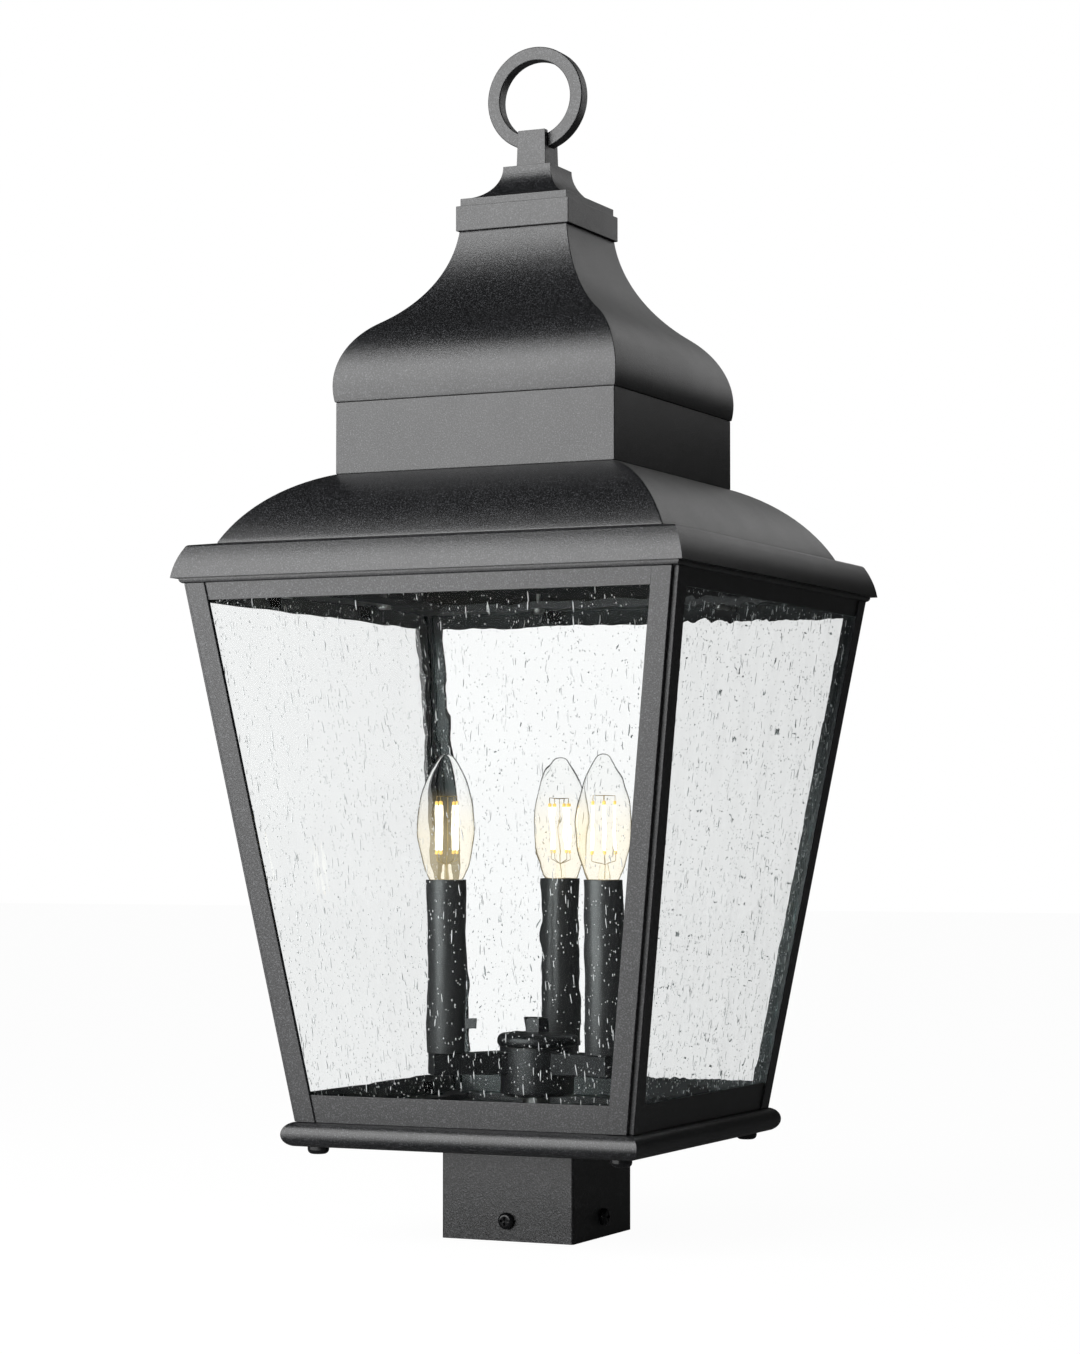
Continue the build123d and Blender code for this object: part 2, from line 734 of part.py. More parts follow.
def arms():
    """Square tubes from inside the hub to the candles, closed at the outer end."""
    root = hub_diameter / 2 - hub_wall - arm_root
    length = candle_circle_radius + arm_end - root
    blank = Pos(root + length / 2, 0, arm_middle) * Box(length, arm_width, arm_height)
    tube = fillet(blank.edges().filter_by(Axis.X), arm_edge_radius)
    tube -= Pos(root + length / 2 - arm_wall, 0, arm_middle) * Box(
        length, arm_width - 2 * arm_wall, arm_height - 2 * arm_wall)
    tube -= Pos(candle_circle_radius, 0, 0) * rod(loose(socket_stem_diameter), arm_middle, arm_top + past)
    return {f"arm_{n + 1}": Rot(0, 0, turn) * tube for n, turn in enumerate(candle_angles)}


def at_candles(piece):
    """The piece at each candle, as a list."""
    return [Rot(0, 0, turn) * Pos(candle_circle_radius, 0, 0) * piece for turn in candle_angles]


def candle_sleeve():
    bore = rod(sleeve_diameter - 2 * sleeve_wall, arm_top - past, sleeve_head + past)
    return rod(sleeve_diameter, arm_top, sleeve_head) - bore


def lamp_socket():
    """Cup for the bulb's cap on top, hole for the stem below."""
    cup_floor = cap_foot - contact_height - seat_gap
    socket = rod(socket_diameter, socket_foot, socket_head)
    socket -= rod(cap_diameter + 2 * seat_gap, cup_floor, socket_head + past)
    return socket - rod(loose(socket_stem_diameter), socket_foot - past, socket_foot + socket_stem_grip)


def socket_stems():
    """Threaded stems from the arms up to the sockets, each with a lock ring inside its arm."""
    ring_head = arm_top - arm_wall
    ring_foot = ring_head - lock_ring_height
    stem = rod(socket_stem_diameter, ring_foot - socket_stem_tail, socket_foot + socket_stem_grip - seat_gap)
    piece = stem + rod(lock_ring_diameter, ring_foot, ring_head)
    return Compound(children=at_candles(piece - rod(socket_stem_bore, arm_top - arm_height, socket_head)))


def bulb_outline(wall):
    """Torpedo outline above the sleeve: one long side arc that runs smoothly into the tip."""
    tip_rise = bulb_show - bulb_tip_radius - bulb_widest_rise
    half = bulb_diameter / 2
    radius = (half**2 + tip_rise**2 - bulb_tip_radius**2) / (2 * half - 2 * bulb_tip_radius)
    widest = sleeve_head + bulb_widest_rise
    centre = half - radius
    share = (radius - wall) / (radius - bulb_tip_radius)
    meet = (centre - share * centre, widest + share * tip_rise)
    shoulder = (centre + sqrt((radius - wall)**2 - bulb_widest_rise**2), sleeve_head)
    tip = (0, sleeve_head + bulb_show - wall)
    return bow(shoulder, meet, radius - wall), bow(meet, tip, bulb_tip_radius - wall)


def bulb_envelope(wall):
    """Solid inside the bulb's outer wall, or inside its inner one when wall is more than zero."""
    neck = bulb_neck_diameter / 2 - wall
    side, tip = bulb_outline(wall)
    shoulder = side @ 0
    return turned(Line((neck, bulb_foot), (neck, cap_rim)), Line((neck, cap_rim), (shoulder.X, shoulder.Y)),
                  side, tip)


def bulb_glass():
    return bulb_envelope(0) - bulb_envelope(bulb_glass_wall)


def bulb_cap():
    """Screw cap of the bulb, with its rim under the glass and a contact at the bottom."""
    shell = rod(cap_diameter, cap_foot, cap_rim - seat_gap)
    shell -= rod(loose(bulb_neck_diameter), bulb_foot - seat_gap, cap_rim)
    return shell + rod(contact_diameter, cap_foot - contact_height, cap_foot)


def bulb_filament():
    """Glass mount, wires and four upright filament bars, joined in one piece."""
    low = sleeve_head + filament_rise
    high = low + filament_length
    lower_cross, upper_cross = low - wire_below, high + wire_above
    neck = bulb_neck_diameter / 2 - bulb_glass_wall - seat_gap
    frame = turned(Line((neck, bulb_foot), (neck, sleeve_head)),
                   Line((neck, sleeve_head), (neck / 2, low - mount_drop)))
    frame += rod(wire_diameter, sleeve_head, upper_cross)
    cross = Box(2 * filament_circle_radius, wire_diameter, wire_diameter)
    bar = rod(filament_diameter, low, high) + rod(wire_diameter, lower_cross, upper_cross)
    for turn in (45, 135):
        for level in (lower_cross, upper_cross):
            frame += Pos(0, 0, level) * Rot(0, 0, turn) * cross
        for side in (-1, 1):
            frame += Rot(0, 0, turn) * Pos(side * filament_circle_radius, 0, 0) * bar
    return frame


def candle_pieces():
    """Sleeve, socket and bulb pieces for each candle."""
    made = {make.__name__: at_candles(make())
            for make in (candle_sleeve, lamp_socket, bulb_glass, bulb_cap, bulb_filament)}
    return {f"{name}_{n + 1}": piece for name, row in made.items() for n, piece in enumerate(row)}


def lantern():
    """Every piece of the lantern by name."""
    single = (post_fitter, fitter_screws, base_roll, base_tray, cage_bottom_frame, cage_top_frame,
              glass_clips, eave_moulding, roof_screws, lower_roof, neck_box, upper_hood, cap_collar,
              finial_base, finial_stud, finial_nut, finial_block, finial_ring, hub_stem, stem_spacer,
              stem_locknut, hub_body, hub_cap, hub_nut, socket_stems)
    pieces = {make.__name__: make() for make in single}
    for group in (cage_screws, clamp_screws, corner_posts, glass_panes, arms, candle_pieces):
        pieces.update(group())
    return pieces


os.makedirs("parts", exist_ok=True)
for name, piece in lantern().items():
    export_step(piece, f"parts/{name}.step")
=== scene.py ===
import bpy
import json
import math
import random
from mathutils import Matrix, Vector, noise

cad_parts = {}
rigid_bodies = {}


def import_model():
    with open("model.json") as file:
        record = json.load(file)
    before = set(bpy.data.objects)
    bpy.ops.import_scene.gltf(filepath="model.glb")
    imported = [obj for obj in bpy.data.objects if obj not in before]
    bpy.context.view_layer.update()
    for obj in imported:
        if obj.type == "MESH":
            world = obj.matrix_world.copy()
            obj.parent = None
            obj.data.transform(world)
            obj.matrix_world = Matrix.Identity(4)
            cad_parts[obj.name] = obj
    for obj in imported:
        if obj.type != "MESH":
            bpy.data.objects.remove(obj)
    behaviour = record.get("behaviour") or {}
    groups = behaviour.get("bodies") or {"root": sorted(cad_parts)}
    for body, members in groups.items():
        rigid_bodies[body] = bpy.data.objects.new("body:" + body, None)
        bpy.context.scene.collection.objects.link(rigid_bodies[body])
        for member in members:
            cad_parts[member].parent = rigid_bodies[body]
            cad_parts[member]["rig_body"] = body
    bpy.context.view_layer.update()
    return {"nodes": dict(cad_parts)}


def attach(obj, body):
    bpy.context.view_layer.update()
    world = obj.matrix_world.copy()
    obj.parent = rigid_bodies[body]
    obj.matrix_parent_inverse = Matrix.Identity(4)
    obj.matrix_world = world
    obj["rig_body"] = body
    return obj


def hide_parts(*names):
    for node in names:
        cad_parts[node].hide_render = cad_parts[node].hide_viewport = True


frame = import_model()
nodes = frame["nodes"]
mm = 0.001
print("stage: frame loaded,", len(nodes), "nodes")


def pickOnly(piece):
    bpy.ops.object.select_all(action="DESELECT")
    piece.select_set(True)
    bpy.context.view_layer.objects.active = piece


def openMesh(piece, everything=False):
    pickOnly(piece)
    bpy.ops.object.mode_set(mode="EDIT")
    bpy.ops.mesh.select_all(action="SELECT" if everything else "DESELECT")


def closeMesh():
    bpy.ops.object.mode_set(mode="OBJECT")


def applyModifiers(piece):
    pickOnly(piece)
    for modifier in list(piece.modifiers):
        bpy.ops.object.modifier_apply(modifier=modifier.name)


def applyPlace(piece):
    pickOnly(piece)
    bpy.ops.object.transform_apply(location=True, rotation=True, scale=True)


def smoothByAngle(piece, angle=32):
    pickOnly(piece)
    bpy.ops.object.shade_smooth_by_angle(angle=math.radians(angle))


def roundEdges(piece, width, segments, angle):
    bevel = piece.modifiers.new("roundEdges", "BEVEL")
    bevel.width = width * mm
    bevel.segments = segments
    bevel.limit_method = "ANGLE"
    bevel.angle_limit = math.radians(angle)
    applyModifiers(piece)


def finishPiece(piece, material, body, slot, *replaced):
    if not piece.data.materials:
        piece.data.materials.append(material)
    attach(piece, body)
    if replaced:
        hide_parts(*replaced)


def newMeshPiece(name):  # the primitive that was just added
    piece = bpy.context.object
    piece.name = name
    piece.data.name = name
    return piece


def copyOf(piece, name):
    twin = bpy.data.objects.new(name, piece.data.copy())
    bpy.context.scene.collection.objects.link(twin)
    return twin


def startMaterial(name):
    material = bpy.data.materials.new(name)
    material.use_nodes = True
    return material, material.node_tree, material.node_tree.nodes["Principled BSDF"]


def addNode(tree, kind, settings=None, **inputs):
    node = tree.nodes.new(kind)
    for key, value in (settings or {}).items():
        setattr(node, key, value)
    for key, value in inputs.items():
        node.inputs[key.replace("_", " ")].default_value = value
    return node


def objectNoise(tree, scale, detail=2.0, roughness=0.5):
    place = addNode(tree, "ShaderNodeTexCoord")
    noise = addNode(tree, "ShaderNodeTexNoise", Scale=scale, Detail=detail, Roughness=roughness)
    tree.links.new(place.outputs["Object"], noise.inputs["Vector"])
    return noise


def spread(tree, socket, low, high, start, end):  # a value's range low..high as start..end
    node = addNode(tree, "ShaderNodeMapRange", {"clamp": True}, From_Min=low, From_Max=high,
                   To_Min=start, To_Max=end)
    tree.links.new(socket, node.inputs["Value"])
    return node.outputs["Result"]


def mixColours(tree, share, first, second):
    node = addNode(tree, "ShaderNodeMix", {"data_type": "RGBA"})
    node.inputs["A"].default_value = (*first, 1)
    node.inputs["B"].default_value = (*second, 1)
    tree.links.new(share, node.inputs["Factor"])
    return node.outputs["Result"]


def larger(tree, first, second):
    node = addNode(tree, "ShaderNodeMath", {"operation": "MAXIMUM"})
    tree.links.new(first, node.inputs[0])
    tree.links.new(second, node.inputs[1])
    return node.outputs[0]


def lightPaths(tree):  # 1 where the eye or clear glass looks at the surface, and where a gloss does
    path = addNode(tree, "ShaderNodeLightPath")
    direct = larger(tree, path.outputs["Is Camera Ray"], path.outputs["Is Transmission Ray"])
    return direct, path.outputs["Is Glossy Ray"]


def surfaceOf(tree, share, first, second):  # the second shader by its share, the first one for the rest
    mix = addNode(tree, "ShaderNodeMixShader")
    tree.links.new(share, mix.inputs["Fac"])
    tree.links.new(first.outputs[0], mix.inputs[1])
    tree.links.new(second.outputs[0], mix.inputs[2])
    tree.links.new(mix.outputs[0], tree.nodes["Material Output"].inputs["Surface"])


def bumpFrom(tree, noise, shader, strength, depth):
    bump = addNode(tree, "ShaderNodeBump", Strength=strength, Distance=depth * mm)
    tree.links.new(noise.outputs["Fac"], bump.inputs["Height"])
    tree.links.new(bump.outputs["Normal"], shader.inputs["Normal"])


powderCoat = {
    "colour": (0.003, 0.0032, 0.0038), "flecks": (0.070, 0.072, 0.077), "fleckRange": (0.51, 0.66),
    "grain": 1300.0, "grainDetail": 3.0, "grainRoughness": 0.7, "grainDepth": 0.15,
    "mottle": 45.0, "mottleDetail": 3.0, "mottleRange": (0.35, 0.65), "roughness": (0.29, 0.32), "gloss": 0.74,
}
candleCoat = {
    **powderCoat, "colour": (0.030, 0.030, 0.0305), "flecks": (0.055, 0.055, 0.056), "roughness": (0.34, 0.38),
    "grainDepth": 0.03, "gloss": 1.0,
}


def makePowderCoat(name, look):
    material, tree, shader = startMaterial(name)
    grain = objectNoise(tree, look["grain"], look["grainDetail"], look["grainRoughness"])
    mottle = objectNoise(tree, look["mottle"], look["mottleDetail"])
    flecks = spread(tree, grain.outputs["Fac"], *look["fleckRange"], 0.0, 1.0)
    tree.links.new(mixColours(tree, flecks, look["colour"], look["flecks"]), shader.inputs["Base Color"])
    rough = spread(tree, mottle.outputs["Fac"], *look["mottleRange"], *look["roughness"])
    tree.links.new(rough, shader.inputs["Roughness"])
    bumpFrom(tree, grain, shader, 1.0, look["grainDepth"])
    shader.inputs["Specular IOR Level"].default_value = look["gloss"]
    return material


plainMetal = {
    "grain": 220.0, "grainDetail": 3.0, "grainRange": (0.3, 0.7), "shade": 0.75,
    "bump": 0.4, "depth": 0.01,
}
mouldedPlastic = {**plainMetal, "grain": 600.0, "depth": 0.03}


def makePlainMetal(name, colour, metallic, low, high, look=plainMetal):
    material, tree, shader = startMaterial(name)
    noise = objectNoise(tree, look["grain"], look["grainDetail"])
    darker = tuple(look["shade"] * c for c in colour)
    share = spread(tree, noise.outputs["Fac"], *look["grainRange"], 0, 1)
    tree.links.new(mixColours(tree, share, colour, darker), shader.inputs["Base Color"])
    rough = spread(tree, noise.outputs["Fac"], *look["grainRange"], low, high)
    tree.links.new(rough, shader.inputs["Roughness"])
    bumpFrom(tree, noise, shader, look["bump"], look["depth"])
    shader.inputs["Metallic"].default_value = metallic
    return material


def letLampsThrough(tree, shader, tint):  # lamps shine straight through, the eye sees real glass
    direct, _ = lightPaths(tree)
    clear = addNode(tree, "ShaderNodeBsdfTransparent")
    clear.inputs["Color"].default_value = (*tint, 1)
    surfaceOf(tree, direct, clear, shader)


def makeGlass(name, colour, waveScale, waveDepth, tint, sheen=1.0, bend=1.45):
    material, tree, shader = startMaterial(name)
    shader.inputs["Base Color"].default_value = (*colour, 1)
    shader.inputs["Transmission Weight"].default_value = 1.0
    shader.inputs["IOR"].default_value = bend
    shader.inputs["Specular Tint"].default_value = (sheen, sheen, sheen, 1)
    shader.inputs["Roughness"].default_value = 0.0
    if waveDepth:
        bumpFrom(tree, objectNoise(tree, waveScale, 1.0), shader, 1.0, waveDepth)
    letLampsThrough(tree, shader, tint)
    return material


# the bulb glass is clear; its creamy tint and glow round the lower half are painted glare
bulbTint = {
    "clear": (0.99, 0.99, 0.985), "glareCream": (0.86, 0.855, 0.84), "glow": (1.0, 0.83, 0.50),
    "low": 226.0, "high": 252.0, "bend": 1.07, "strength": 0.10, "shadow": (0.97, 0.97, 0.96),
}


def makeBulbGlass(name, look):  # clear at the tip; round the lower half a painted glare: a creamy tint and a weak emission stand in for the glare of the lit filaments
    material = makeGlass(name, look["clear"], 0, 0, look["shadow"], bend=look["bend"])
    tree = material.node_tree
    shader = tree.nodes["Principled BSDF"]
    place = addNode(tree, "ShaderNodeTexCoord")
    split = addNode(tree, "ShaderNodeSeparateXYZ")
    tree.links.new(place.outputs["Object"], split.inputs[0])
    # painted glare: the creamy tint and the emission grow towards the lower half of the bulb
    share = spread(tree, split.outputs["Z"], look["low"] * mm, look["high"] * mm, 1, 0)
    tree.links.new(mixColours(tree, share, look["clear"], look["glareCream"]), shader.inputs["Base Color"])
    shader.inputs["Emission Color"].default_value = (*look["glow"], 1)
    tree.links.new(spread(tree, share, 0, 1, 0, look["strength"]), shader.inputs["Emission Strength"])
    return material


glowLook = {"grain": 2500.0, "shade": 0.8, "roughness": 0.5}


def makeGlow(name, colour, strength):
    material, tree, shader = startMaterial(name)
    noise = objectNoise(tree, glowLook["grain"])
    darker = tuple(glowLook["shade"] * c for c in colour)
    tree.links.new(mixColours(tree, noise.outputs["Fac"], colour, darker), shader.inputs["Base Color"])
    shader.inputs["Emission Color"].default_value = (*colour, 1)
    shader.inputs["Emission Strength"].default_value = strength
    shader.inputs["Roughness"].default_value = glowLook["roughness"]
    return material


lanternBlack = makePowderCoat("lanternBlack", powderCoat)
candleBlack = makePowderCoat("candleBlack", candleCoat)
screwBlack = makePlainMetal("screwBlack", (0.008, 0.008, 0.009), 0.0, 0.14, 0.22)
zincSteel = makePlainMetal("zincSteel", (0.62, 0.62, 0.60), 1.0, 0.28, 0.45)
bulbBrass = makePlainMetal("bulbBrass", (0.72, 0.60, 0.36), 1.0, 0.18, 0.32)
socketBlack = makePlainMetal("socketBlack", (0.045, 0.045, 0.046), 0.0, 0.45, 0.6, mouldedPlastic)
seededGlass = makeGlass("seededGlass", (0.972, 0.980, 0.979), 160.0, 0.004, (0.82, 0.85, 0.85), 0.06, 1.40)
glassEdge = makeGlass("glassEdge", (0.05, 0.16, 0.16), 300.0, 0.05, (0.3, 0.4, 0.4))
bulbClear = makeBulbGlass("bulbClear", bulbTint)
filamentWhite = makeGlow("filamentWhite", (1.0, 0.93, 0.74), 1.7)
filamentAmber = makeGlow("filamentAmber", (1.0, 0.66, 0.16), 0.7)
wireAmber = makePlainMetal("wireAmber", (0.70, 0.50, 0.20), 1.0, 0.25, 0.4)
print("stage: materials")


# where the camera stands and what light it works in
cameraView = {"place": (0.79314, -1.70609, 0.22346), "back": (0.42037, -0.90602, -0.04920), "lens": 87.53}
studio = {
    "ambient": 0.17, "glossLevel": 0.03, "floorSize": 16, "floorWhite": 0.92, "floorRoughness": 0.9,
    "floorGlow": 1.03, "floorShare": 0.94, "floorGlossShare": 0.9,
}
softboxes = {  # where the panel's middle is, which way it faces by azimuth and elevation, width and height
    "frontBox": {
        "middle": (-0.435, -0.95, 0.36), "facing": (-30.0, 0.0), "size": (1.10, 0.69), "brightness": 3.75,
    },
    "upperBox": {
        "middle": (-0.435, -0.95, 1.095), "facing": (-30.0, 0.0), "size": (1.10, 0.78), "brightness": 4.7,
    },
    "floorCard": {
        "middle": (-0.26, -0.55, 0.012), "facing": (-30.0, -90.0), "size": (0.70, 0.72), "brightness": 1.4,
    },
    "rearBox": {
        "middle": (0.25, 0.82, 0.88), "facing": (163.0, 0.0), "size": (0.42, 0.54), "brightness": 0.85,
    },
    "rearFill": {
        "middle": (-0.12, 0.86, 0.88), "facing": (180.0, 0.0), "size": (0.34, 0.54), "brightness": 0.3,
    },
}


def makeWorld(look):
    world = bpy.data.worlds.new("studioWorld")
    bpy.context.scene.world = world
    world.use_nodes = True
    tree = world.node_tree
    background = tree.nodes["Background"]
    background.inputs["Color"].default_value = (1, 1, 1, 1)
    direct, gloss = lightPaths(tree)
    strength = larger(tree, direct, spread(tree, gloss, 0, 1, look["ambient"], look["glossLevel"]))
    tree.links.new(strength, background.inputs["Strength"])


def makeFloor(look):
    bpy.ops.object.select_all(action="DESELECT")
    bpy.ops.mesh.primitive_plane_add(size=look["floorSize"])
    floor = newMeshPiece("paleFloor")
    material, tree, shader = startMaterial("paleFloor")
    shader.inputs["Base Color"].default_value = (*[look["floorWhite"]] * 3, 1)
    shader.inputs["Roughness"].default_value = look["floorRoughness"]
    shader.inputs["Specular IOR Level"].default_value = 0.0
    direct, gloss = lightPaths(tree)
    glow = addNode(tree, "ShaderNodeEmission")
    tree.links.new(spread(tree, direct, 0, 1, look["glossLevel"], look["floorGlow"]), glow.inputs["Strength"])
    share = larger(tree, spread(tree, direct, 0, 1, 0, look["floorShare"]),
                   spread(tree, gloss, 0, 1, 0, look["floorGlossShare"]))
    surfaceOf(tree, share, shader, glow)
    floor.data.materials.append(material)


def makeSoftbox(name, look):
    azimuth, elevation = (math.radians(angle) for angle in look["facing"])
    away = Vector((math.sin(azimuth) * math.cos(elevation), -math.cos(azimuth) * math.cos(elevation),
                   math.sin(elevation)))
    bpy.ops.object.light_add(type="AREA", location=look["middle"])
    lamp = bpy.context.object
    lamp.name = name
    lamp.data.shape = "RECTANGLE"
    lamp.data.size, lamp.data.size_y = look["size"]
    lamp.data.energy = look["brightness"] * math.pi * look["size"][0] * look["size"][1]
    lamp.rotation_euler = away.to_track_quat("Z", "Y").to_euler()
    lamp.visible_camera = False
    lamp.visible_transmission = False


def makeCamera(look):
    bpy.ops.object.camera_add(location=look["place"])
    camera = bpy.context.object
    camera.data.lens = look["lens"]
    camera.rotation_euler = (-Vector(look["back"])).to_track_quat("-Z", "Y").to_euler()
    bpy.context.scene.camera = camera


makeCamera(cameraView)
makeWorld(studio)
makeFloor(studio)
for name, look in softboxes.items():
    makeSoftbox(name, look)
bpy.context.scene.view_settings.view_transform = "Standard"
print("stage: camera, floor and light")


# painted metal: each copy of a CAD piece gets soft, rounded edges under its powder coat
softEdge = {"segments": 2, "angle": 25, "smooth": 35, "weld": 0.002, "flat": 0.4}


def softCopy(node, material, slot, width, angle=softEdge["angle"]):
    piece = copyOf(nodes[node], node + "_finished")
    piece.data.materials.clear()
    pickOnly(piece)
    bpy.ops.mesh.customdata_custom_splitnormals_clear()
    openMesh(piece, True)
    bpy.ops.mesh.remove_doubles(threshold=softEdge["weld"] * mm)
    bpy.ops.mesh.dissolve_limited(angle_limit=math.radians(softEdge["flat"]))
    closeMesh()
    roundEdges(piece, width, softEdge["segments"], angle)
    smoothByAngle(piece, softEdge["smooth"])
    weights = piece.modifiers.new("faceWeights", "WEIGHTED_NORMAL")
    weights.keep_sharp = True
    applyModifiers(piece)
    finishPiece(piece, material, nodes[node]["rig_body"], slot, node)


edgeWidths = {
    "post_fitter": 0.5, "base_roll": 0.5, "base_tray": 0.4, "cage_bottom_frame": 0.5, "cage_top_frame": 0.35,
    "eave_moulding": 0.6, "lower_roof": 0.8, "neck_box": 0.6, "upper_hood": 1.2, "cap_collar": 0.9,
    "finial_base": 0.5, "finial_block": 0.5, "finial_ring": 0.6, "hub_body": 0.5,
    "hub_nut": 0.35, "arm_1": 0.3, "arm_2": 0.3, "arm_3": 0.3,
}
repeatWidths = {"corner_post": 0.3, "screw": 0.25, "glass_clips": 0.15}
lowAngles = {"lower_roof": 12, "upper_hood": 12, "eave_moulding": 15, "finial_base": 15}
for name, width in edgeWidths.items():
    softCopy(name, lanternBlack, "lantern_black", width, lowAngles.get(name, softEdge["angle"]))
for name in [n for n in nodes if n.startswith("corner_post_")]:
    softCopy(name, lanternBlack, "lantern_black", repeatWidths["corner_post"])
for name in [n for n in nodes if n.startswith(("cage_screw_", "clamp_screw_"))]:
    softCopy(name, screwBlack, "screw_black", repeatWidths["screw"])
softCopy("glass_clips", screwBlack, "screw_black", repeatWidths["glass_clips"])
print("stage: painted metal")


# turned pieces: an outline of (radius, height) in mm, drawn point by point and spun round a centre
def spunPiece(name, outline, centre=(0.0, 0.0), steps=48, smooth=40):
    bpy.ops.object.select_all(action="DESELECT")
    bpy.ops.mesh.primitive_plane_add(size=mm)
    piece = newMeshPiece(name)
    openMesh(piece, True)
    bpy.ops.mesh.merge(type="CENTER")
    here = Vector((0, 0, 0))
    for count, (radius, height) in enumerate(outline):
        point = Vector((centre[0] + radius * mm, centre[1], height * mm))
        if count == 0:
            bpy.ops.transform.translate(value=point)
        else:
            bpy.ops.mesh.extrude_region_move(TRANSFORM_OT_translate={"value": point - here})
        here = point
    bpy.ops.mesh.select_all(action="SELECT")
    bpy.ops.mesh.spin(steps=steps, angle=2 * math.pi, center=(*centre, 0), axis=(0, 0, 1))
    bpy.ops.mesh.select_all(action="SELECT")
    bpy.ops.mesh.remove_doubles(threshold=0.001 * mm)
    bpy.ops.mesh.normals_make_consistent(inside=False)
    closeMesh()
    smoothByAngle(piece, smooth)
    return piece


def arcPoints(centre, radius, start, end, steps):  # degrees from the outward direction, anticlockwise
    turns = [math.radians(start + (end - start) * n / steps) for n in range(steps + 1)]
    return [(centre[0] + radius * math.cos(t), centre[1] + radius * math.sin(t)) for t in turns]


candles = {
    "circle": 53.0, "angles": (100.0, 220.0, 340.0), "foot": 103.3, "head": 201.0,
    "radius": 11.1, "wall": 1.1, "rim": 0.35,
}


def onCircle(radius, angle, centre=(0.0, 0.0)):  # degrees from +X, in metres
    turn = math.radians(angle)
    return centre[0] + radius * mm * math.cos(turn), centre[1] + radius * mm * math.sin(turn)


candleCentres = [onCircle(candles["circle"], angle) for angle in candles["angles"]]


def sleeveOutline(look):
    low, high, rim = look["foot"], look["head"], look["rim"]
    outer, inner = look["radius"], look["radius"] - look["wall"]
    return [(inner, low), *arcPoints((outer - rim, low + rim), rim, -90, 0, 3),
            *arcPoints((outer - rim, high - rim), rim, 0, 90, 3),
            *arcPoints((inner + rim, high - rim), rim, 90, 180, 3), (inner, low)]


hubCap = {
    "foot": 106.0, "radius": 23.4, "bead": 3.55, "beadTurn": 80, "crown": 114.5, "bore": 5.1, "recess": 19.0,
    "wall": 2.4, "neck": 21.6, "shoulder": (2.0, 0.05), "slope": (14.0, 0.75), "flat": (8.5, 0.05),
}


def capOutline(look):
    low, bead, edge = look["foot"], look["bead"], look["radius"]
    middle = (edge - bead, low + bead)
    rim = arcPoints(middle, bead, -look["beadTurn"], look["beadTurn"], 10)
    top = low + 2 * bead
    inside = top - look["wall"]
    inset, rise = look["shoulder"]
    slopeRadius, slopeRise = look["slope"]
    flatRadius, flatDrop = look["flat"]
    return [(look["recess"], low), (look["neck"], low), *rim, (edge - bead - inset, top + rise),
            (slopeRadius, top + slopeRise), (flatRadius, look["crown"] - flatDrop),
            (look["bore"], look["crown"]), (look["bore"], inside), (look["recess"], inside),
            (look["recess"], low)]


for number, centre in enumerate(candleCentres, 1):
    sleeve = spunPiece(f"candleTube_{number}", sleeveOutline(candles), centre)
    finishPiece(sleeve, candleBlack, "base", "candle_black", f"candle_sleeve_{number}")
hubTop = spunPiece("hubTop", capOutline(hubCap), steps=64)
finishPiece(hubTop, lanternBlack, "base", "lantern_black", "hub_cap")
print("stage: candles and hub")


# the bulb: its side is one long arc that runs smoothly into the tip's arc
bulb = {
    "foot": 188.0, "neck": 5.0, "rim": 193.0, "sleeveHead": 201.0, "height": 70.5, "widest": 30.0,
    "radius": 16.2, "tip": 5.3, "wall": 0.45,
}


def bulbOutline(look, wall):
    tipRise = look["height"] - look["tip"] - look["widest"]
    side = (look["radius"] ** 2 + tipRise ** 2 - look["tip"] ** 2) / 2 / (look["radius"] - look["tip"])
    middle = (look["radius"] - side, look["sleeveHead"] + look["widest"])
    tipMiddle = (0.0, middle[1] + tipRise)
    low = math.degrees(math.asin(-look["widest"] / side))
    meet = math.degrees(math.atan2(tipMiddle[1] - middle[1], tipMiddle[0] - middle[0]))
    return [(look["neck"] - wall, look["foot"]), (look["neck"] - wall, look["rim"]),
            *arcPoints(middle, side - wall, low, meet, 26),
            *arcPoints(tipMiddle, look["tip"] - wall, meet, 90, 7)[1:]]


filaments = {
    "count": 4, "low": 215.0, "high": 245.0, "circle": 6.5, "bar": 0.95, "barRim": 0.4, "tip": 2.2,
    "wire": 0.21, "top": 248.0, "bottom": 211.5, "grip": 0.5, "stub": 8,
    "mountHead": 209.5, "mountFoot": 189.0, "mountRadius": 3.2,
    "mountTaper": ((1.0, 6), (0.8, 3), (0.8, 0.6), (0.6, 0)),  # share of the radius, drop below the head
}


def wirePiece(name, runs, radius):  # bent wire, each run a list of points in metres
    curve = bpy.data.curves.new(name, "CURVE")
    curve.dimensions = "3D"
    curve.bevel_depth = radius * mm
    curve.bevel_resolution = 2
    curve.use_fill_caps = True
    for run in runs:
        spline = curve.splines.new("POLY")
        spline.points.add(len(run) - 1)
        for point, place in zip(spline.points, run):
            point.co = (*place, 1)
    piece = bpy.data.objects.new(name, curve)
    bpy.context.scene.collection.objects.link(piece)
    pickOnly(piece)
    bpy.ops.object.convert(target="MESH")
    smoothByAngle(bpy.context.object, 50)
    return bpy.context.object


def barOutline(low, high, look):
    radius = look["bar"]
    rim = look["barRim"] * radius
    return [(0.0, low), (radius - rim, low), (radius, low + rim),
            (radius, high - rim), (radius - rim, high), (0.0, high)]


def joinPieces(name, parts):
    pickOnly(parts[0])
    for part in parts:
        part.select_set(True)
    bpy.ops.object.join()
    parts[0].name = parts[0].data.name = name
    return parts[0]


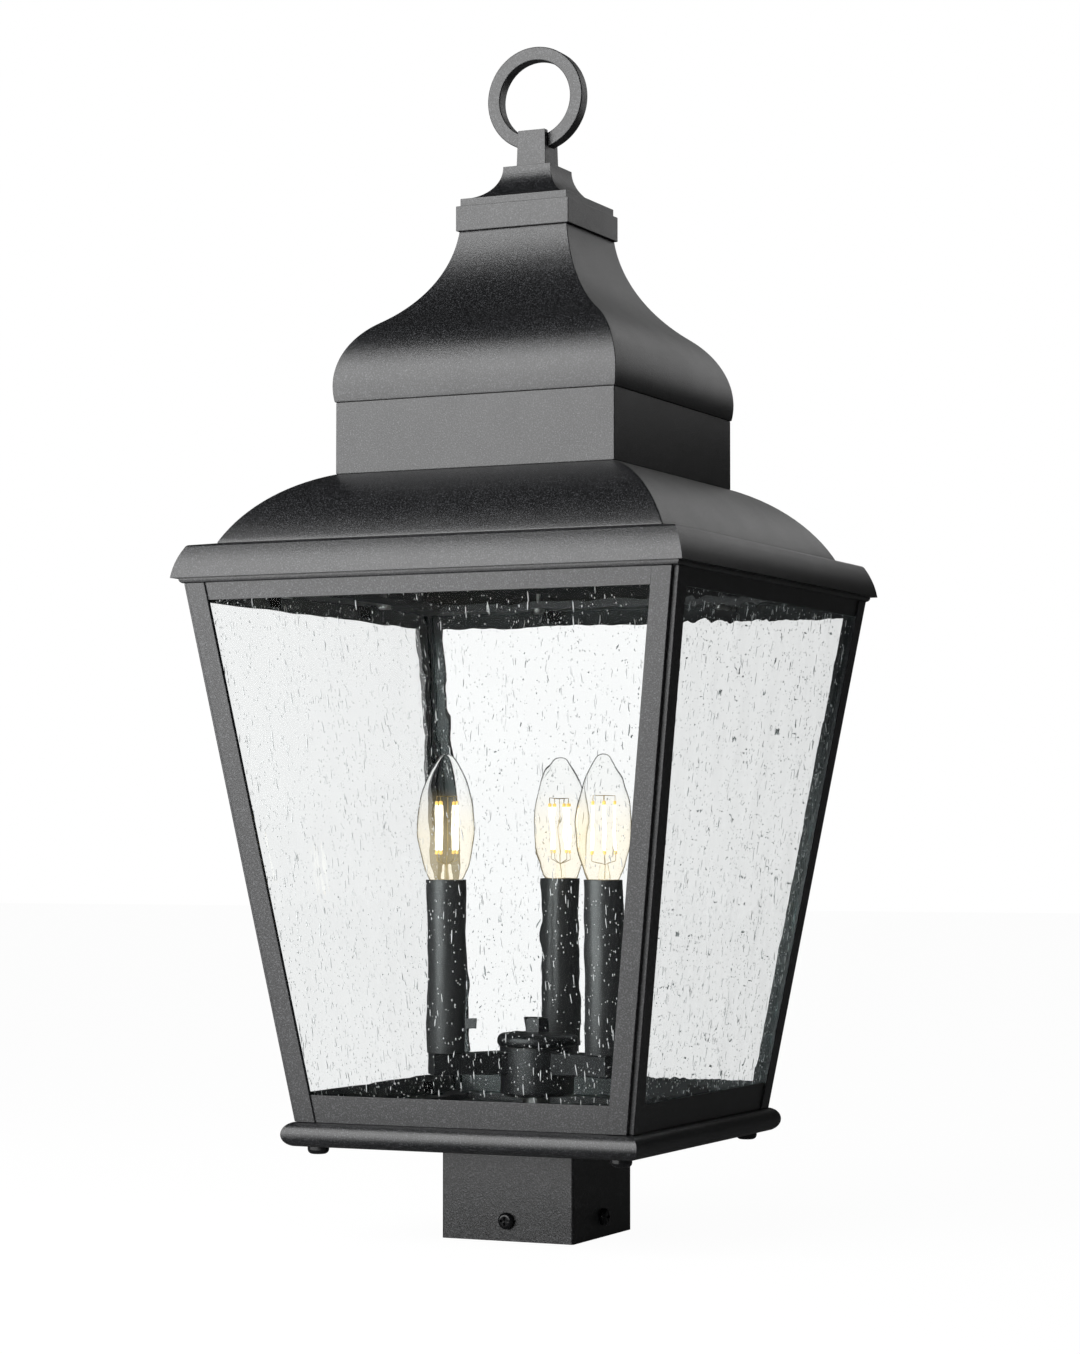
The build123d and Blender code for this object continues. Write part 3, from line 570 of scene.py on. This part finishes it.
def wireRuns(look, spots, centre):  # a cross over the bars, one wire down from each, and the middle wire
    top, bottom = look["top"] * mm, look["bottom"] * mm
    highEnd, lowEnd = (look["high"] - look["grip"]) * mm, (look["low"] + look["grip"]) * mm
    mountEnd, stubEnd = (look["mountHead"] - look["grip"]) * mm, (look["mountHead"] - look["stub"]) * mm
    runs = []
    for spot in spots:
        runs.append([(*centre, top), (*spot, top), (*spot, highEnd)])
        runs.append([(*spot, lowEnd), (*spot, bottom), (*centre, mountEnd)])
    runs.append([(*centre, stubEnd), (*centre, top)])
    return runs


def mountOutline(look):
    foot, head, radius = look["mountFoot"], look["mountHead"], look["mountRadius"]
    taper = [(radius * share, head - drop) for share, drop in look["mountTaper"]]
    return [(0, foot), (radius, foot), *taper, (0, head)]


def makeBulb(number, centre, turn):
    body, look = f"bulb_{number}", filaments
    outer, inner = bulbOutline(bulb, 0.0), bulbOutline(bulb, bulb["wall"])
    glass = spunPiece(f"bulbGlass_{number}", [*outer, *reversed(inner), outer[0]], centre, 56, 80)
    finishPiece(glass, bulbClear, body, "bulb_clear", f"bulb_glass_{number}")
    spots = [onCircle(look["circle"], turn + 360 // look["count"] * n, centre) for n in range(look["count"])]
    tip = look["tip"]
    bars = [spunPiece("bar", barOutline(look["low"] + tip, look["high"] - tip, look), s, 12) for s in spots]
    white = joinPieces(f"filamentBars_{number}", bars)
    finishPiece(white, filamentWhite, body, "filament", f"bulb_filament_{number}")
    ends = [spunPiece("end", barOutline(low, low + tip, look), s, 12)
            for s in spots for low in (look["low"], look["high"] - tip)]
    finishPiece(joinPieces(f"filamentEnds_{number}", ends), filamentAmber, body, "filament")
    wires = wirePiece(f"bulbWires_{number}", wireRuns(look, spots, centre), look["wire"])
    finishPiece(wires, wireAmber, body, "filament")
    mount = spunPiece(f"bulbMount_{number}", mountOutline(look), centre, 24, 50)
    finishPiece(mount, bulbClear, body, "bulb_clear")


for number, centre in enumerate(candleCentres, 1):
    makeBulb(number, centre, candles["angles"][number - 1] + 45)
for name in nodes:
    if name.startswith("bulb_cap_"):
        nodes[name].data.materials.clear()
        nodes[name].data.materials.append(bulbBrass)
print("stage: bulbs")


# seeded glass: a thick pane with gently uneven faces and air bubbles that are real hollows
pane = {
    "footHalf": 95.388, "headHalf": 140.144, "rise": 295.55, "thickness": 3.0,
    "outer": 100.193, "low": 71.45, "lean": 0.1532, "cuts": 99,
    "waves": ((5.0, 9.0, 0.042), (20.0, 45.0, 0.13)),  # across, along and how deep
    "waveDraw": 900, "faceStep": 5,  # so that no pane and no face repeats another
    "seeds": 3000, "draw": 7, "seedHalf": (0.13, 0.30), "seedLong": (1.0, 3.2), "seedDepth": (1.8, 0.7),
    "seedTilt": 5, "streakShare": 0.14, "streakLong": (6.0, 14.0), "edgeRoom": 2, "skin": 0.25,
}
sides = {"front": 0, "right": 90, "back": 180, "left": 270}


def seedShape():  # one bubble, its faces turned to the air inside it
    bpy.ops.object.select_all(action="DESELECT")
    bpy.ops.mesh.primitive_uv_sphere_add(segments=6, ring_count=4, radius=mm)
    seed = newMeshPiece("seedBubble")
    openMesh(seed, True)
    bpy.ops.mesh.flip_normals()
    closeMesh()
    pickOnly(seed)
    bpy.ops.object.shade_smooth()
    return seed


def flatPane(name, look):
    bpy.ops.object.select_all(action="DESELECT")
    bpy.ops.mesh.primitive_plane_add(size=1)
    piece = newMeshPiece(name)
    openMesh(piece, True)
    width, rise = 2 * look["footHalf"] * mm, look["rise"] * mm
    bpy.ops.transform.rotate(value=-math.pi / 2, orient_axis="X", center_override=(0, 0, 0))
    bpy.ops.transform.resize(value=(width, 1, rise), center_override=(0, 0, 0))
    bpy.ops.transform.translate(value=(0, 0, rise / 2))
    closeMesh()
    for corner in piece.data.vertices:  # the pane is wider at its head
        if abs(corner.co.z) > rise / 2:
            corner.co.x *= look["headHalf"] / look["footHalf"]
    openMesh(piece, True)
    bpy.ops.mesh.subdivide(number_cuts=look["cuts"])
    closeMesh()
    return piece


def thickenPane(piece, look):
    if piece.data.polygons[0].normal.y > 0:  # its face looks out, to -Y
        openMesh(piece, True)
        bpy.ops.mesh.flip_normals()
        closeMesh()
    solid = piece.modifiers.new("thickness", "SOLIDIFY")
    solid.thickness = look["thickness"] * mm
    solid.offset = -1
    applyModifiers(piece)


def unevenFaces(piece, look, draw):
    shift = Vector((draw.uniform(0, look["waveDraw"]), 0, draw.uniform(0, look["waveDraw"])))
    middle = look["thickness"] * mm / 2
    for vertex in piece.data.vertices:
        outside = -1 if vertex.co.y < middle else 1
        place = vertex.co / mm + shift
        rise = sum(depth * noise.noise(Vector((place.x / across, look["faceStep"] * outside, place.z / along)))
                   for across, along, depth in look["waves"])
        vertex.co.y += outside * rise * mm


def addSeeds(piece, look, seed, draw):
    bubbles = [piece]
    half, room = look["thickness"] / 2, look["edgeRoom"]
    depthShare, deepest = look["seedDepth"]
    for _ in range(look["seeds"]):
        wide = draw.uniform(*look["seedHalf"])
        streak = draw.random() < look["streakShare"]
        tall = wide * draw.uniform(*(look["streakLong"] if streak else look["seedLong"]))
        deep = min(depthShare * wide, deepest)
        up = draw.uniform(tall + room, look["rise"] - tall - room)
        reach = look["footHalf"] + (look["headHalf"] - look["footHalf"]) * up / look["rise"] - wide - room
        inset = half - deep - look["skin"]
        place = Vector((draw.uniform(-reach, reach), half + draw.uniform(-inset, inset), up)) * mm
        bubble = copyOf(seed, "bubble")
        tilt = Matrix.Rotation(math.radians(draw.gauss(0, look["seedTilt"])), 4, "Y")
        bubble.matrix_world = Matrix.Translation(place) @ tilt @ Matrix.Diagonal((wide, deep, tall, 1))
        bubbles.append(bubble)
    joinPieces(piece.name, bubbles)


def makePane(side, turn, look, seed):
    draw = random.Random(look["draw"] + turn)
    piece = flatPane(f"seededPane_{side}", look)
    thickenPane(piece, look)
    unevenFaces(piece, look, draw)
    piece.data.materials.append(seededGlass)
    piece.data.materials.append(glassEdge)
    for face in piece.data.polygons:
        face.material_index = 1 if abs(face.normal.y) < 0.5 else 0
    smoothByAngle(piece, 30)
    addSeeds(piece, look, seed, draw)
    slope = math.hypot(1, look["lean"])
    cosine, sine = 1 / slope, look["lean"] / slope
    lie = Matrix(((1, 0, 0), (0, cosine, -sine), (0, sine, cosine)))
    piece.matrix_world = (Matrix.Rotation(math.radians(turn), 4, "Z")
                          @ Matrix.Translation((0, -look["outer"] * mm, look["low"] * mm)) @ lie.to_4x4())
    applyPlace(piece)
    finishPiece(piece, seededGlass, "cage", "seeded_glass", f"glass_{side}")


seed = seedShape()
for side, turn in sides.items():
    makePane(side, turn, pane, seed)
bpy.data.objects.remove(seed)
print("stage: glass")


# what is hidden inside keeps its CAD shape and gets its finish
insideFinish = {
    "fitter_screws": zincSteel, "roof_screws": zincSteel, "finial_stud": zincSteel, "finial_nut": zincSteel,
    "hub_stem": zincSteel, "stem_spacer": zincSteel, "stem_locknut": zincSteel, "socket_stems": zincSteel,
    "lamp_socket_1": socketBlack, "lamp_socket_2": socketBlack, "lamp_socket_3": socketBlack,
}
for name, material in insideFinish.items():
    nodes[name].data.materials.clear()
    nodes[name].data.materials.append(material)
print("stage: inside finishes")
